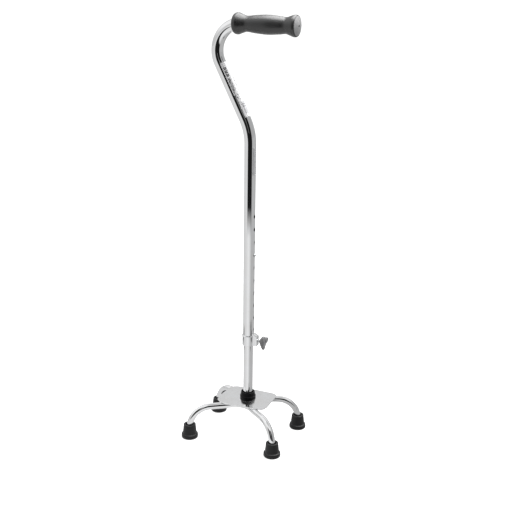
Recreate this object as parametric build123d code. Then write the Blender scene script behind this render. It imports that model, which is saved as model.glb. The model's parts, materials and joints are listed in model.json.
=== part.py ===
from build123d import *
import math
import os

# A quad walking cane: an offset handle on a chrome tube that slides over a lower tube, which stands on
# a plate with two bent leg tubes and four rubber feet. Millimetres. The origin is on the floor, at the
# centre of the four feet. +X is the way the handle points, +Z is up, and the user stands on the +Y side.

INCH = 25.4

# Base: feet, leg tubes and plate.
FOOT_X = 88.7
FOOT_Y = 65.0
FOOT_BASE_R = 16.5
FOOT_HEIGHT = 28.5
FOOT_WASHER_R = 6.1
FOOT_WASHER_Z = 7.5
FOOT_WASHER_THICK = 1.5
LEG_R = INCH / 4
LEG_WALL = 1.2
LEG_SHOULDER_R = 41.0
PLATE_TOP_Z = 70.6
PLATE_THICK = 2.0
PLATE_UNDER_Z = PLATE_TOP_Z - PLATE_THICK
LEG_Z = PLATE_UNDER_Z - LEG_R

# Shaft: the two tubes that slide on each other. The shaft stands behind the middle of the feet.
SHAFT_Y = 16.0
TUBE_WALL = 1.2
LOWER_R = 0.75 * INCH / 2
LOWER_BORE_R = LOWER_R - TUBE_WALL
LOWER_TOP_Z = 406.0
UPPER_R = 0.875 * INCH / 2
UPPER_BORE_R = UPPER_R - TUBE_WALL
UPPER_BOTTOM_Z = 188.0

# The ten height holes, counted from the top, and the snap button in the fourth.
HOLE_COUNT = 10
HOLE_PITCH = INCH
HOLE_R = 3.5
TOP_HOLE_Z = 444.5
BUTTON_HOLE = 4
BUTTON_Z = TOP_HOLE_Z - (BUTTON_HOLE - 1) * HOLE_PITCH
BUTTON_R = 3.1
BUTTON_PROUD = 2.0
BUTTON_FIT = 0.1
SPRING_LEG_X = 7.0
SPRING_THICK = 0.6
SPRING_WIDTH = 5.6

# Neck: the centre line leaves the shaft, leans back, and turns over into the handle.
HANDLE_Z = 797.3
NECK_LEAN = 27.2
NECK_FOOT_Z = 605.9
NECK_LOWER_R = 100.0
NECK_UPPER_R = 48.8
HANDLE_TUBE_END_X = 74.0

# Grip.
GRIP_BACK_X = -33.8
GRIP_FRONT_X = 88.5
GRIP_DOME = 2.6
GRIP_FLANGE_R = 19.4
GRIP_VENT_R = 1.3

# Clamp collar and its thumb screw, an M5 with a pitch of 0.8 mm.
COLLAR_BOTTOM_Z = 183.2
COLLAR_TOP_Z = 204.4
COLLAR_R = 12.2
LUG_X = 20.3
LUG_WIDTH = 10.6
SCREW_Z = 194.6
SCREW_R = 2.45
SCREW_TIP_X = 11.6
SCREW_HEAD_X = 31.0
NUT_BORE_R = 2.5
NUT_ACROSS = 8.0
NUT_X = 14.2
NUT_THICK = 4.0
PAD_X = LOWER_R + 0.3
KNOB_BACK_X = 25.0
KNOB_FACE_X = 36.5
KNOB_R = 15.8
KNOB_TURN = 5.0
SLIP = 0.05

# Labels: thin vinyl patches on the tube.
LABEL_THICK = 0.15


def disc(radius, bottom, top):
    """An upright cylinder on the Z axis between two heights."""
    height = top - bottom
    return Pos(0, 0, bottom + height / 2) * Cylinder(radius, height)


def rod(radius, start, end, z):
    """A cylinder along X at height z, between two X values."""
    length = end - start
    return Pos(start + length / 2, 0, z) * Rot(0, 90, 0) * Cylinder(radius, length)


def turned(points):
    """A solid of revolution about Z from an (r, z) outline with straight sides."""
    outline = [(r, 0, z) for r, z in points]
    return revolve(make_face(Polyline(*outline, close=True)), Axis.Z, 360)


def swept_tube(path, radius, wall):
    """A round tube along a path of runs and tangent arcs: (tube, its outer solid)."""
    start = Plane(origin=path @ 0, z_dir=path % 0)
    outer = sweep(start * Circle(radius), path=path)
    inner = sweep(start * Circle(radius - wall), path=path)
    return outer - inner, outer


def foot_places():
    """Each foot's name and its place on the floor."""
    rows = [("outer", -FOOT_Y), ("inner", FOOT_Y)]
    ends = [("front", FOOT_X), ("rear", -FOOT_X)]
    return [(f"{end}_{row}", x, y) for row, y in rows for end, x in ends]


# ---------------------------------------------------------------- base


def rubber_foot():
    """A flared rubber tip with a ringed tread, a stepped flange and a wide mouth round the leg."""
    seat = FOOT_WASHER_Z
    with BuildPart() as tip:
        with BuildSketch(Plane.XZ):
            with BuildLine():
                Polyline((0, 1.0), (4.0, 1.0), (4.0, 0), (7.5, 0), (7.5, 1.0), (10.0, 1.0), (10.0, 0))
                Line((10.0, 0), (FOOT_BASE_R - 3.4, 0))
                Spline(
                    (FOOT_BASE_R - 3.4, 0),
                    (FOOT_BASE_R - 1.0, 1.2),
                    (FOOT_BASE_R, 4.2),
                    tangents=[(1, 0), (0, 1)],
                )
                Line((FOOT_BASE_R, 4.2), (FOOT_BASE_R - 0.4, 7.2))
                ThreePointArc(
                    (FOOT_BASE_R - 0.4, 7.2),
                    (FOOT_BASE_R - 1.0, 8.4),
                    (FOOT_BASE_R - 2.3, 9.0),
                )
                Polyline(
                    (FOOT_BASE_R - 2.3, 9.0),
                    (13.8, 9.6),
                    (11.9, FOOT_HEIGHT - 0.5),
                    (11.4, FOOT_HEIGHT),
                    (8.7, FOOT_HEIGHT),
                    (8.1, FOOT_HEIGHT - 0.6),
                    (LEG_R + 0.5, FOOT_HEIGHT - 6.0),
                    (LEG_R, FOOT_HEIGHT - 7.0),
                    (LEG_R, seat),
                    (0, seat),
                    (0, 1.0),
                )
            make_face()
        revolve(axis=Axis.Z)
    return tip.part


def foot_washer():
    """The steel disc in a foot that keeps the tube's end from cutting through the rubber."""
    return disc(LEG_R, FOOT_WASHER_Z, FOOT_WASHER_Z + FOOT_WASHER_THICK) - disc(1.6, 0, 20)


def leg_tube(side, corner_y, middle_r):
    """A bent tube that makes two legs: down into a foot at each end, with one bend under the plate."""
    foot_y = side * FOOT_Y
    bottom = FOOT_WASHER_Z + FOOT_WASHER_THICK
    path = FilletPolyline(
        (-FOOT_X, foot_y, bottom),
        (-FOOT_X, foot_y, LEG_Z),
        (0, corner_y, LEG_Z),
        (FOOT_X, foot_y, LEG_Z),
        (FOOT_X, foot_y, bottom),
        radius=[LEG_SHOULDER_R, middle_r, LEG_SHOULDER_R],
    )
    return swept_tube(path, LEG_R, LEG_WALL)[0]


def base_plate():
    """The rounded sheet that the leg tubes are welded under, with a hole for the centre bolt."""
    near, far = SHAFT_Y - 43.8, SHAFT_Y + 36.0
    outline = Polyline(
        (-51.0, near + 9.0),
        (-38.0, near - 1.6),
        (-17.0, near - 2.6),
        (36.0, near + 1.8),
        (51.0, near + 3.6),
        (52.8, near + 18.0),
        (51.0, far),
        (-50.0, far),
        (-52.6, near + 32.0),
        close=True,
    )
    plate = extrude(Pos(0, 0, PLATE_UNDER_Z) * make_face(outline), PLATE_THICK)
    corner_radii = [(-51.0, near + 9.0, 9.0), (-38.0, near - 1.6, 14.0), (51.0, near + 3.6, 11.0)]
    corner_radii += [(51.0, far, 14.0), (-50.0, far, 17.0)]
    for x, y, radius in corner_radii:
        edge = plate.edges().filter_by(Axis.Z).sort_by_distance((x, y, PLATE_TOP_Z))[0]
        plate = fillet(edge, radius)
    rims = plate.faces().sort_by(Axis.Z)[-1].edges() + plate.faces().sort_by(Axis.Z)[0].edges()
    plate = fillet(rims, 0.5)
    return plate - Pos(0, SHAFT_Y, 0) * disc(4.2, PLATE_UNDER_Z - 1, PLATE_TOP_Z + 1)


def base_bolt():
    """The M8 hex bolt that holds the shaft's plug down on the plate."""
    washer_z = PLATE_UNDER_Z - 1.6
    head = extrude(Pos(0, 0, washer_z - 5.3) * RegularPolygon(6.5, 6, major_radius=False), 5.3)
    head = chamfer(head.faces().sort_by(Axis.Z)[0].edges(), 0.5)
    return head + disc(4.0, washer_z, PLATE_TOP_Z + 17.0)


def base_washer():
    return disc(8.5, PLATE_UNDER_Z - 1.6, PLATE_UNDER_Z) - disc(4.2, 0, PLATE_TOP_Z)


def shaft_plug():
    """The threaded steel plug pressed into the bottom of the lower tube."""
    plug = disc(LOWER_BORE_R, PLATE_TOP_Z, PLATE_TOP_Z + 24.0)
    return plug - disc(4.0, PLATE_TOP_Z, PLATE_TOP_Z + 20.0)


def shaft_boot():
    """The rubber boot at the foot of the shaft."""
    z = PLATE_TOP_Z
    top = z + 12.6
    return turned(
        [
            (LOWER_R, z),
            (15.3, z),
            (15.7, z + 0.6),
            (15.6, z + 4.0),
            (14.9, z + 5.0),
            (13.7, top - 0.6),
            (13.1, top),
            (11.9, top),
            (11.3, top - 0.6),
            (LOWER_R + 0.6, top - 6.0),
            (LOWER_R, top - 7.0),
        ]
    )


# ---------------------------------------------------------------- shaft


def lower_tube():
    tube = disc(LOWER_R, PLATE_TOP_Z, LOWER_TOP_Z) - disc(LOWER_BORE_R, PLATE_TOP_Z, LOWER_TOP_Z)
    return tube - rod(BUTTON_R + BUTTON_FIT, 0, LOWER_R + 1, BUTTON_Z)


def snap_spring():
    """The V spring inside the lower tube that pushes the button out."""
    leg = SPRING_LEG_X
    path = FilletPolyline(
        (leg, 0, BUTTON_Z + 6),
        (leg, 0, BUTTON_Z - 8),
        (0, 0, BUTTON_Z - 46),
        (-leg, 0, BUTTON_Z - 8),
        (-leg, 0, BUTTON_Z + 6),
        radius=[20.0, 3.5, 20.0],
    )
    start = Plane(origin=path @ 0, x_dir=(0, 1, 0), z_dir=path % 0)
    return sweep(start * Rectangle(SPRING_WIDTH, SPRING_THICK), path=path)


def snap_button():
    """The button that stands out through both tubes."""
    root = SPRING_LEG_X + SPRING_THICK / 2
    tip = UPPER_R + BUTTON_PROUD
    pin = rod(BUTTON_R, root, tip, BUTTON_Z)
    return fillet(pin.faces().sort_by(Axis.X)[-1].edges(), 1.4)


def neck_path():
    """The centre line of the upper tube, from its bottom end to the end of the handle."""
    lean = math.tan(math.radians(NECK_LEAN))
    back_x = -(HANDLE_Z - NECK_FOOT_Z) * lean
    return FilletPolyline(
        (0, 0, UPPER_BOTTOM_Z),
        (0, 0, NECK_FOOT_Z),
        (back_x, 0, HANDLE_Z),
        (HANDLE_TUBE_END_X, 0, HANDLE_Z),
        radius=[NECK_LOWER_R, NECK_UPPER_R],
    )


def upper_tube():
    """The bent upper tube with its height holes: (tube, its outer solid before drilling)."""
    tube, outer = swept_tube(neck_path(), UPPER_R, TUBE_WALL)
    for n in range(HOLE_COUNT):
        z = TOP_HOLE_Z - n * HOLE_PITCH
        tube -= rod(HOLE_R, -UPPER_R - 1, UPPER_R + 1, z)
    tube -= rod(SCREW_R + 0.4, 0, UPPER_R + 1, SCREW_Z)
    return tube, outer


def handle_grip(tube_outer):
    """The moulded grip: two flanges, two waists and a belly, closed at the front by a domed end."""
    with BuildPart() as grip:
        with BuildSketch(Plane.XZ):
            with BuildLine():
                Line((GRIP_BACK_X, 0), (GRIP_BACK_X, 11.6))
                Bezier((GRIP_BACK_X, 11.6), (GRIP_BACK_X, 16.5), (-30.8, GRIP_FLANGE_R), (-25.4, GRIP_FLANGE_R))
                Spline(
                    (-25.4, GRIP_FLANGE_R),
                    (-17.0, 16.6),
                    (-7.8, 14.1),
                    (8.0, 15.9),
                    (33.0, 17.4),
                    (56.0, 15.8),
                    (67.5, 14.6),
                    (76.0, 17.2),
                    (84.0, GRIP_FLANGE_R),
                    tangents=[(1, 0), (1, 0)],
                )
                Bezier((84.0, GRIP_FLANGE_R), (86.8, GRIP_FLANGE_R), (GRIP_FRONT_X, 18.6), (GRIP_FRONT_X, 17.4))
                ThreePointArc(
                    (GRIP_FRONT_X, 17.4),
                    (GRIP_FRONT_X + GRIP_DOME * 0.75, 8.7),
                    (GRIP_FRONT_X + GRIP_DOME, 0),
                )
                Line((GRIP_FRONT_X + GRIP_DOME, 0), (GRIP_BACK_X, 0))
            make_face()
        revolve(axis=Axis.X)
    body = Pos(0, 0, HANDLE_Z) * grip.part
    vent = rod(GRIP_VENT_R, HANDLE_TUBE_END_X - 1, GRIP_FRONT_X + GRIP_DOME + 1, HANDLE_Z)
    return body - tube_outer - vent


def tube_patch(bottom, top, middle, spread, placed):
    """A thin patch on the tube: a stretch of its skin, spread each way from an angle about its axis."""
    height = top - bottom
    skin = disc(UPPER_R + LABEL_THICK, bottom, top) - disc(UPPER_R, bottom, top)
    reach = UPPER_R + 5
    wedge = Polyline(
        (0, 0),
        (reach * math.cos(math.radians(-spread)) * 2, reach * math.sin(math.radians(-spread)) * 2),
        (reach * math.cos(math.radians(spread)) * 2, reach * math.sin(math.radians(spread)) * 2),
        close=True,
    )
    sector = extrude(Pos(0, 0, bottom) * Rot(0, 0, middle) * make_face(wedge), height)
    return placed * (skin & sector)


def leaning():
    """The place of the straight leaning run of the neck, with Z along the run and 0 at its foot."""
    return Pos(0, 0, NECK_FOOT_Z) * Rot(0, -NECK_LEAN, 0)


# ---------------------------------------------------------------- clamp


def hexagon(across, start, thick):
    """A hexagonal prism along X at the thumb screw's height, with flats to each side."""
    flat = Plane(origin=(start, 0, SCREW_Z), x_dir=(0, 0, 1), z_dir=(1, 0, 0))
    return extrude(flat * RegularPolygon(across / 2, 6, major_radius=False), thick)


def collar():
    """The clamp collar with a rolled rim and the lug that holds the nut."""
    band = turned(
        [
            (UPPER_R, COLLAR_BOTTOM_Z + 0.6),
            (LOWER_R + 0.5, COLLAR_BOTTOM_Z + 0.6),
            (LOWER_R + 0.5, COLLAR_BOTTOM_Z),
            (COLLAR_R - 0.5, COLLAR_BOTTOM_Z),
            (COLLAR_R, COLLAR_BOTTOM_Z + 0.5),
            (COLLAR_R, COLLAR_TOP_Z - 2.2),
            (COLLAR_R + 0.6, COLLAR_TOP_Z - 1.7),
            (COLLAR_R + 0.6, COLLAR_TOP_Z - 0.5),
            (COLLAR_R + 0.1, COLLAR_TOP_Z),
            (UPPER_R, COLLAR_TOP_Z),
        ]
    )
    side = Polyline(
        (4.0, 0, COLLAR_BOTTOM_Z + 0.4),
        (LUG_X, 0, COLLAR_BOTTOM_Z + 0.8),
        (LUG_X, 0, COLLAR_TOP_Z + 0.2),
        (12.6, 0, COLLAR_TOP_Z + 3.8),
        (4.0, 0, COLLAR_TOP_Z + 3.8),
        close=True,
    )
    lug = extrude(make_face(side), LUG_WIDTH / 2, both=True)
    outer_edges = lug.edges().filter_by(lambda e: e.center().X > 12.0)
    lug = fillet(outer_edges, 1.6)
    lug -= disc(UPPER_R, COLLAR_BOTTOM_Z - 1, COLLAR_TOP_Z + 5)
    ring = band + lug
    ring -= hexagon(NUT_ACROSS, NUT_X, NUT_THICK)
    return ring - rod(SCREW_R + 0.4, UPPER_R - 1, LUG_X + 1, SCREW_Z)


def guide_bush():
    """The nylon ring in the bottom of the collar that the lower tube slides through."""
    bottom, top = COLLAR_BOTTOM_Z + 0.65, UPPER_BOTTOM_Z - 0.05
    return disc(UPPER_R - SLIP, bottom, top) - disc(LOWER_R + SLIP, bottom, top)


def clamp_nut():
    return hexagon(NUT_ACROSS, NUT_X, NUT_THICK) - rod(NUT_BORE_R, NUT_X, NUT_X + NUT_THICK, SCREW_Z)


def screw_pad():
    """The nylon tip that the thumb screw presses on the lower tube."""
    face = rod(SCREW_R - 0.15, PAD_X, SCREW_TIP_X - SLIP, SCREW_Z)
    return face + rod(1.0, SCREW_TIP_X - SLIP, SCREW_TIP_X + 2.0, SCREW_Z)


def thumb_screw():
    """An M5 screw with a bored tip for the pad and a hex head moulded into the knob."""
    screw = rod(SCREW_R, SCREW_TIP_X, SCREW_HEAD_X, SCREW_Z) + hexagon(8.0, SCREW_HEAD_X, 3.5)
    return screw - rod(1.0 + SLIP, SCREW_TIP_X, SCREW_TIP_X + 2.2, SCREW_Z)


def thumb_knob():
    """The three-lobed knob: its back is a cone down to the hub, its face is slightly domed."""
    depth = KNOB_FACE_X - KNOB_BACK_X
    lobe_r = 5.2
    outline = Circle(9.2)
    for n in range(3):
        outline += Rot(0, 0, KNOB_TURN + n * 120) * Pos(KNOB_R - lobe_r, 0) * Circle(lobe_r)
        outline += Rot(0, 0, KNOB_TURN + n * 120) * Pos((KNOB_R - lobe_r) / 2, 0) * Rectangle(
            KNOB_R - lobe_r, lobe_r * 2
        )
    corners = [v for v in outline.vertices() if v.center().length < KNOB_R - lobe_r]
    outline = fillet(corners, 2.6)
    flat = Plane(origin=(KNOB_BACK_X, 0, SCREW_Z), x_dir=(0, 1, 0), z_dir=(1, 0, 0))
    lobes = extrude(flat * outline, depth)
    cone = turned(
        [
            (0, 0),
            (4.6, 0),
            (5.0, 0.6),
            (KNOB_R - 0.9, depth * 0.66),
            (KNOB_R, depth * 0.76),
            (KNOB_R, depth * 0.86),
            (KNOB_R - 0.9, depth * 0.94),
            (KNOB_R - 6.0, depth),
            (0, depth),
        ]
    )
    knob = lobes & (Pos(KNOB_BACK_X, 0, SCREW_Z) * Rot(0, 90, 0) * cone)
    return knob - thumb_screw_outer()


def thumb_screw_outer():
    return rod(SCREW_R, KNOB_BACK_X - 1, SCREW_HEAD_X, SCREW_Z) + hexagon(8.0, SCREW_HEAD_X, 3.5)


# ---------------------------------------------------------------- assembly


def all_parts():
    """Every piece of the cane, by name."""
    parts = {}
    for name, x, y in foot_places():
        parts[f"foot_{name}"] = Pos(x, y, 0) * rubber_foot()
        parts[f"foot_washer_{name}"] = Pos(x, y, 0) * foot_washer()
    parts["leg_tube_outer"] = leg_tube(-1, SHAFT_Y - 15.0, 32.0)
    parts["leg_tube_inner"] = leg_tube(1, SHAFT_Y + 9.3, 100.0)
    parts["base_plate"] = base_plate()

    tube, tube_outer = upper_tube()
    shaft = {
        "base_bolt": base_bolt(),
        "base_washer": base_washer(),
        "shaft_plug": shaft_plug(),
        "shaft_boot": shaft_boot(),
        "lower_tube": lower_tube(),
        "snap_spring": snap_spring(),
        "snap_button": snap_button(),
        "upper_tube": tube,
        "handle_grip": handle_grip(tube_outer),
        "label_upper": tube_patch(70.0, 133.0, -20.0, 50.0, leaning()),
        "label_middle": tube_patch(25.5, 69.0, -13.0, 43.0, leaning()),
        "label_lower": tube_patch(525.0, 576.0, -5.0, 35.0, Pos(0, 0, 0)),
        "collar": collar(),
        "guide_bush": guide_bush(),
        "clamp_nut": clamp_nut(),
        "screw_pad": screw_pad(),
        "thumb_screw": thumb_screw(),
        "thumb_knob": thumb_knob(),
    }
    for name, shape in shaft.items():
        parts[name] = Pos(0, SHAFT_Y, 0) * shape
    return parts


os.makedirs("parts", exist_ok=True)
for name, shape in all_parts().items():
    export_step(shape, f"parts/{name}.step")
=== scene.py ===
import json
import math

import bmesh
import bpy
from mathutils import Matrix, Vector

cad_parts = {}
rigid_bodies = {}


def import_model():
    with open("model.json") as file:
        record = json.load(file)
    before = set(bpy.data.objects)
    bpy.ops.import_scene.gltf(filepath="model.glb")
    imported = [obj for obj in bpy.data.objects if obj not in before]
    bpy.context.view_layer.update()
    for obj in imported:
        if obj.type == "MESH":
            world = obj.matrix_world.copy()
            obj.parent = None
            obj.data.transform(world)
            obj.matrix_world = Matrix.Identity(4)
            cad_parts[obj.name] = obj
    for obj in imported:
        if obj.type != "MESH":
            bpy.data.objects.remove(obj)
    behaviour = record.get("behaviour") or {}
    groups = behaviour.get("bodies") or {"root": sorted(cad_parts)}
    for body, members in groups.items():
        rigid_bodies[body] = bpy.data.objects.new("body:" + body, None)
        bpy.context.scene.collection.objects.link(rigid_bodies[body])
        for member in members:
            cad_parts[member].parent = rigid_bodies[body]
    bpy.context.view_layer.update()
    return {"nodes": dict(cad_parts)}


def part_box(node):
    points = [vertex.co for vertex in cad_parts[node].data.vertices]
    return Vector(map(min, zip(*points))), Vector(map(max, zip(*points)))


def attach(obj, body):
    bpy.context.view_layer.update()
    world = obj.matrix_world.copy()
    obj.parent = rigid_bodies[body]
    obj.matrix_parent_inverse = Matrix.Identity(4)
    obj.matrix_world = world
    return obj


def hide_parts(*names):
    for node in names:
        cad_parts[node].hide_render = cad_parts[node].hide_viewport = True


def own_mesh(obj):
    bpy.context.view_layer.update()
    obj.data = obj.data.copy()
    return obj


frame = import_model()

MM = 0.001
TAU = math.tau

# ------------------------------------------------------------------ places, read from the frame


def centre(node):
    low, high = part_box(node)
    return (Vector(low) + Vector(high)) / 2


def half_size(node):
    low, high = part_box(node)
    return (Vector(high) - Vector(low)) / 2


SHAFT = centre("lower_tube")
SHAFT_X, SHAFT_Y = SHAFT.x, SHAFT.y
LOWER_R = half_size("lower_tube").y
LOWER_Z = (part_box("lower_tube")[0][2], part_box("lower_tube")[1][2])
UPPER_R = half_size("upper_tube").y
UPPER_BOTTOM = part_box("upper_tube")[0][2]
HANDLE_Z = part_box("upper_tube")[1][2] - UPPER_R
HANDLE_END_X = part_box("upper_tube")[1][0]
TUBE_WALL = 1.2 * MM
LEG_R = half_size("foot_washer_front_outer").x
LEG_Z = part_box("base_plate")[0][2] - LEG_R
BUTTON_Z = centre("snap_button").z
SCREW_Z = centre("thumb_screw").z
BUTTON_HOLE_R = 3.2 * MM
SCREW_HOLE_R = 2.85 * MM

# How far the knob's lobes reach, and how far the first one leans from straight up.
KNOB_TIP_R = 15.8 * MM
KNOB_TURN = math.radians(5)

# The neck, as the tube bender would be told it.
NECK_LEAN = math.radians(27.2)
NECK_FOOT_Z = 605.9 * MM
NECK_LOWER_R = 100 * MM
NECK_UPPER_R = 48.8 * MM

# Below this height the upper tube is straight, and all its holes are there.
DRILLED_TOP = 500 * MM

# The height holes.
HOLE_PITCH = 25.4 * MM
HOLE_R = 3.5 * MM
HOLES_ABOVE_BUTTON = 3
HOLES_BELOW_BUTTON = 6

# The legs' bends: their radii, and the Y where the two halves of a leg tube would meet at X = 0.
LEG_SHOULDER_R = 41 * MM
LEG_BENDS = {
    "outer": {"corner_y": 1.0 * MM, "middle_r": 32 * MM},
    "inner": {"corner_y": 25.3 * MM, "middle_r": 100 * MM},
}

# ------------------------------------------------------------------ materials


def new_material(name):
    """A material, its node tree and its Principled shader."""
    material = bpy.data.materials.new(name)
    material.use_nodes = True
    tree = material.node_tree
    tree.nodes.clear()
    shader = tree.nodes.new("ShaderNodeBsdfPrincipled")
    output = tree.nodes.new("ShaderNodeOutputMaterial")
    tree.links.new(shader.outputs["BSDF"], output.inputs["Surface"])
    return material, tree, shader


def place(tree, stretch=(1, 1, 1)):
    """Object coordinates, stretched along the axes."""
    where = tree.nodes.new("ShaderNodeTexCoord")
    mapping = tree.nodes.new("ShaderNodeMapping")
    mapping.inputs["Scale"].default_value = stretch
    tree.links.new(where.outputs["Object"], mapping.inputs["Vector"])
    return mapping.outputs["Vector"]


def noise(tree, scale, detail=4, rough=0.55, stretch=(1, 1, 1)):
    """Noise in the object's own space. The scale is per metre."""
    node = tree.nodes.new("ShaderNodeTexNoise")
    node.inputs["Scale"].default_value = scale
    node.inputs["Detail"].default_value = detail
    node.inputs["Roughness"].default_value = rough
    tree.links.new(place(tree, stretch), node.inputs["Vector"])
    return node.outputs["Fac"]


def math_node(tree, kind, a, b=None, clamp=False):
    """A sum on numbers or sockets."""
    node = tree.nodes.new("ShaderNodeMath")
    node.operation = kind
    node.use_clamp = clamp
    for socket, value in zip(node.inputs, (a, b)):
        if isinstance(value, (int, float)):
            socket.default_value = value
        elif value is not None:
            tree.links.new(value, socket)
    return node.outputs[0]


def compare(tree, value, middle, reach):
    """1 within reach of the middle, else 0."""
    node = tree.nodes.new("ShaderNodeMath")
    node.operation = "COMPARE"
    tree.links.new(value, node.inputs[0])
    node.inputs[1].default_value = middle
    node.inputs[2].default_value = reach
    return node.outputs[0]


def edge(tree, value, middle, reach, fade):
    """0 beyond reach of the middle, rising to 1 over the fade further in."""
    off = math_node(tree, "ABSOLUTE", math_node(tree, "SUBTRACT", value, middle))
    return math_node(tree, "DIVIDE", math_node(tree, "SUBTRACT", reach, off), fade, clamp=True)


def spread(tree, value, low, high, from_low=0.3, from_high=0.7):
    """Takes a value from one range to another, and holds it within the new one."""
    node = tree.nodes.new("ShaderNodeMapRange")
    node.inputs["From Min"].default_value = from_low
    node.inputs["From Max"].default_value = from_high
    node.inputs["To Min"].default_value = low
    node.inputs["To Max"].default_value = high
    tree.links.new(value, node.inputs["Value"])
    return node.outputs["Result"]


def blend_colours(tree, value, first, second):
    """The first colour where the value is 0, the second where it is 1."""
    node = tree.nodes.new("ShaderNodeMix")
    node.data_type = "RGBA"
    tree.links.new(value, node.inputs["Factor"])
    for socket, colour in (("A", first), ("B", second)):
        target = [s for s in node.inputs if s.name == socket and s.type == "RGBA"][0]
        if isinstance(colour, tuple):
            target.default_value = (*colour, 1)
        else:
            tree.links.new(colour, target)
    return [s for s in node.outputs if s.type == "RGBA"][0]


def bump(tree, height, depth, strength, before=None):
    """A normal bent by a height, on top of an earlier one if it is given."""
    node = tree.nodes.new("ShaderNodeBump")
    node.inputs["Distance"].default_value = depth
    node.inputs["Strength"].default_value = strength
    tree.links.new(height, node.inputs["Height"])
    if before is not None:
        tree.links.new(before, node.inputs["Normal"])
    return node.outputs["Normal"]


def chrome(name, tone, rough, waviness=0.02):
    """Mirror chrome plate: a faint haze, handling marks and fine polishing lines."""
    material, tree, shader = new_material(name)
    shader.inputs["Metallic"].default_value = 1.0
    haze = noise(tree, 38, detail=3)
    cool = (tone * 0.985, tone * 0.995, tone * 1.01)
    warm = (tone * 0.955, tone * 0.955, tone * 0.955)
    tree.links.new(blend_colours(tree, spread(tree, haze, 0, 1), cool, warm), shader.inputs["Base Color"])
    marks = noise(tree, 140, detail=6, rough=0.7, stretch=(1, 1, 0.35))
    tree.links.new(spread(tree, marks, rough * 0.6, rough * 1.8, 0.4, 0.75), shader.inputs["Roughness"])
    ripple = noise(tree, 22, detail=1)
    lines = noise(tree, 900, detail=2, stretch=(1, 1, 0.04))
    normal = bump(tree, ripple, 0.6 * MM, waviness)
    normal = bump(tree, lines, 0.02 * MM, 0.05, normal)
    tree.links.new(normal, shader.inputs["Normal"])
    return material


def rubber(name, dark, light, rough, grain_scale=1600, grain_depth=0.08, specular=0.5):
    """Moulded rubber or vinyl: a fine grain, uneven tone and a lighter tone on the sharp convex edges."""
    material, tree, shader = new_material(name)
    shader.inputs["Specular IOR Level"].default_value = specular
    cloud = noise(tree, 45, detail=5, rough=0.6)
    tone = blend_colours(tree, spread(tree, cloud, 0, 1, 0.35, 0.7), dark, light)
    edges = tree.nodes.new("ShaderNodeNewGeometry").outputs["Pointiness"]
    # Lighter towards sharp convex edges.
    edge_tone = tuple(min(1, c * 1.9 + 0.012) for c in light)
    tone = blend_colours(tree, spread(tree, edges, 0, 0.55, 0.51, 0.62), tone, edge_tone)
    tree.links.new(tone, shader.inputs["Base Color"])
    grain = noise(tree, grain_scale, detail=3, rough=0.6)
    tree.links.new(spread(tree, cloud, rough * 0.88, rough * 1.12), shader.inputs["Roughness"])
    tree.links.new(bump(tree, grain, grain_depth * MM, 0.35), shader.inputs["Normal"])
    return material


def plastic(name, dark, light, rough, specular=0.5):
    """Moulded plastic with a light spark-eroded texture."""
    material, tree, shader = new_material(name)
    shader.inputs["Specular IOR Level"].default_value = specular
    cloud = noise(tree, 90, detail=4)
    tree.links.new(
        blend_colours(tree, spread(tree, cloud, 0, 1), dark, light), shader.inputs["Base Color"]
    )
    texture = noise(tree, 2200, detail=2)
    tree.links.new(spread(tree, texture, rough * 0.85, rough * 1.15), shader.inputs["Roughness"])
    tree.links.new(bump(tree, texture, 0.05 * MM, 0.3), shader.inputs["Normal"])
    return material


def steel(name, tone, rough, stretch=(1, 1, 1)):
    """Zinc-plated or spring steel with a satin grain."""
    material, tree, shader = new_material(name)
    shader.inputs["Metallic"].default_value = 1.0
    cloud = noise(tree, 120, detail=4)
    dark = tuple(c * 0.8 for c in tone)
    tree.links.new(blend_colours(tree, spread(tree, cloud, 0, 1), dark, tone), shader.inputs["Base Color"])
    grain = noise(tree, 1500, detail=3, stretch=stretch)
    tree.links.new(spread(tree, grain, rough * 0.75, rough * 1.3), shader.inputs["Roughness"])
    tree.links.new(bump(tree, grain, 0.03 * MM, 0.25), shader.inputs["Normal"])
    return material


def vinyl(name, paper, leaning, marks):
    """A printed label. Each mark is (middle, reach, at, arc, ink): its middle and half length in mm up the
    tube from the neck's foot, its middle and half width in degrees round the tube, and its tone. They are
    plain blocks and bars, with no lettering."""
    material, tree, shader = new_material(name)
    shader.inputs["Roughness"].default_value = 0.32
    shader.inputs["Coat Weight"].default_value = 0.3
    shader.inputs["Coat Roughness"].default_value = 0.12
    where = tree.nodes.new("ShaderNodeTexCoord").outputs["Object"]
    shift = tree.nodes.new("ShaderNodeVectorMath")
    shift.operation = "SUBTRACT"
    shift.inputs[1].default_value = (SHAFT_X, SHAFT_Y, NECK_FOOT_Z)
    tree.links.new(where, shift.inputs[0])
    turn = tree.nodes.new("ShaderNodeVectorRotate")
    turn.rotation_type = "Y_AXIS"
    turn.inputs["Angle"].default_value = NECK_LEAN if leaning else 0.0
    tree.links.new(shift.outputs[0], turn.inputs["Vector"])
    split = tree.nodes.new("ShaderNodeSeparateXYZ")
    tree.links.new(turn.outputs[0], split.inputs[0])
    along = math_node(tree, "DIVIDE", split.outputs["Z"], MM)
    angle = math_node(tree, "ARCTAN2", split.outputs["Y"], split.outputs["X"])
    angle = math_node(tree, "DIVIDE", angle, math.radians(1))
    worn = noise(tree, 260, detail=5, rough=0.65)
    tone = blend_colours(tree, spread(tree, worn, 0, 1), tuple(c * 0.93 for c in paper), paper)
    for middle, reach, at, arc, ink in marks:
        near = compare(tree, along, middle, reach)
        mark = math_node(tree, "MULTIPLY", near, compare(tree, angle, at, arc))
        tone = blend_colours(tree, mark, tone, (ink, ink, ink * 1.04))
    tree.links.new(tone, shader.inputs["Base Color"])
    wrinkle = noise(tree, 120, detail=3)
    tree.links.new(bump(tree, wrinkle, 0.12 * MM, 0.25), shader.inputs["Normal"])
    return material


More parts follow.
